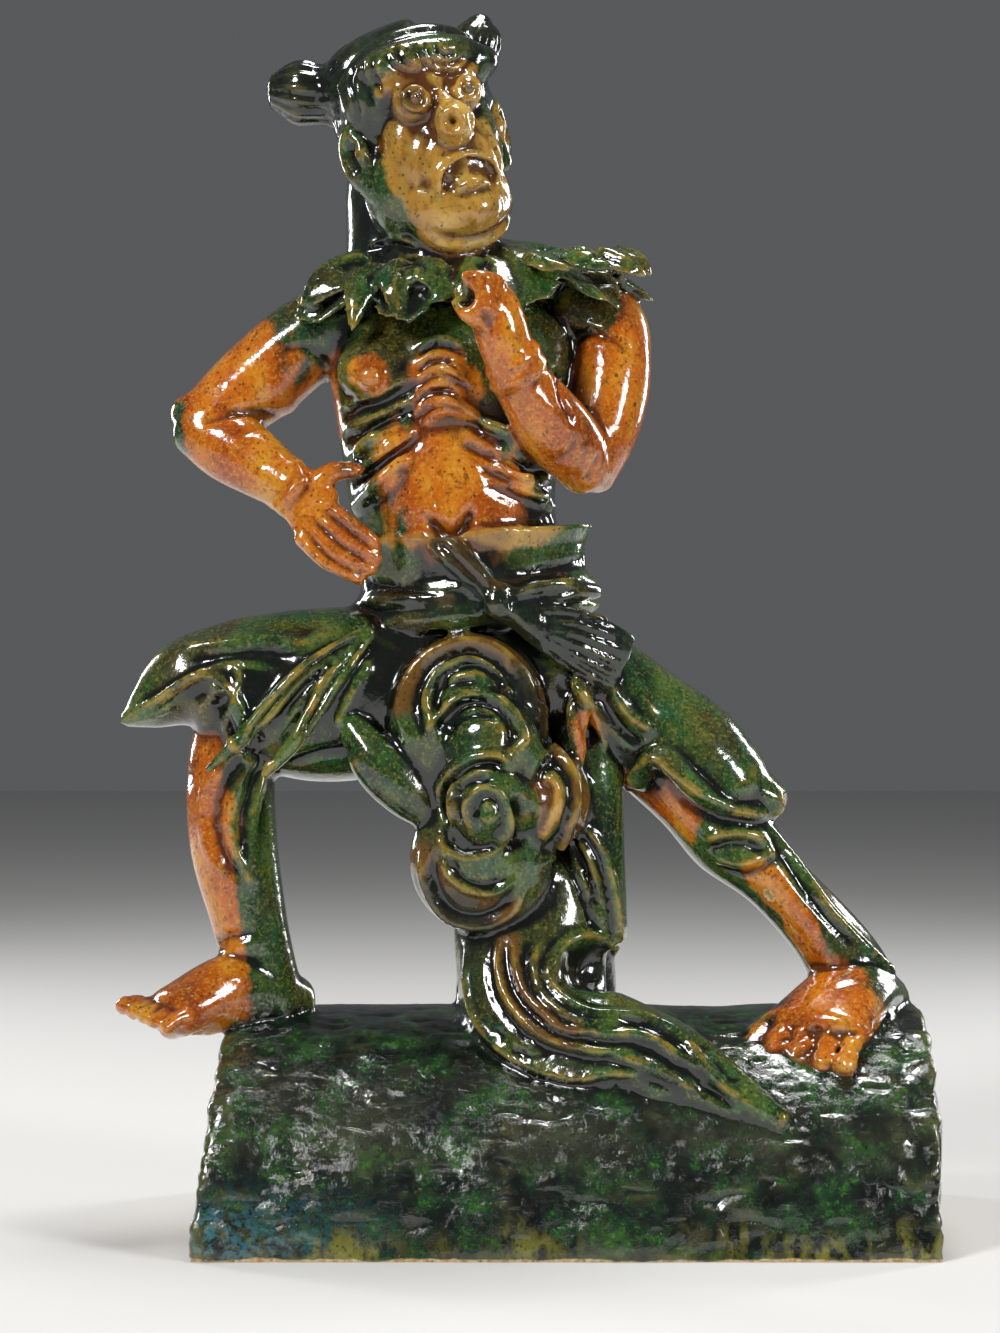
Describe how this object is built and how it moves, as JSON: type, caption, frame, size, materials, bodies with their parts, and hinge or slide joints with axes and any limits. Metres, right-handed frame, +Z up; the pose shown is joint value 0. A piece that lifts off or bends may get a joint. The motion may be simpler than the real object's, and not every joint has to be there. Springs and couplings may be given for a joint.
{
  "type": "roof ridge figure",
  "caption": "Glazed clay guardian striding over a cloud scroll on a half-round ridge tile, set along a roof ridge as its ornament.",
  "frame": {"origin": "middle of the footprint, on the plane that the tile's two long rims rest on", "axes": "+Z up from the tile to the figure's hair, -Y the way the figure faces, X along the ridge"},
  "size_m": [0.2714, 0.15, 0.4178],
  "materials": {
    "glazed_clay": "running lead glaze in green, amber and near black over fired clay, glossy"
  },
  "bodies": {
    "root": {"roof_ridge_figure": "glazed_clay"}
  },
  "joints": []
}
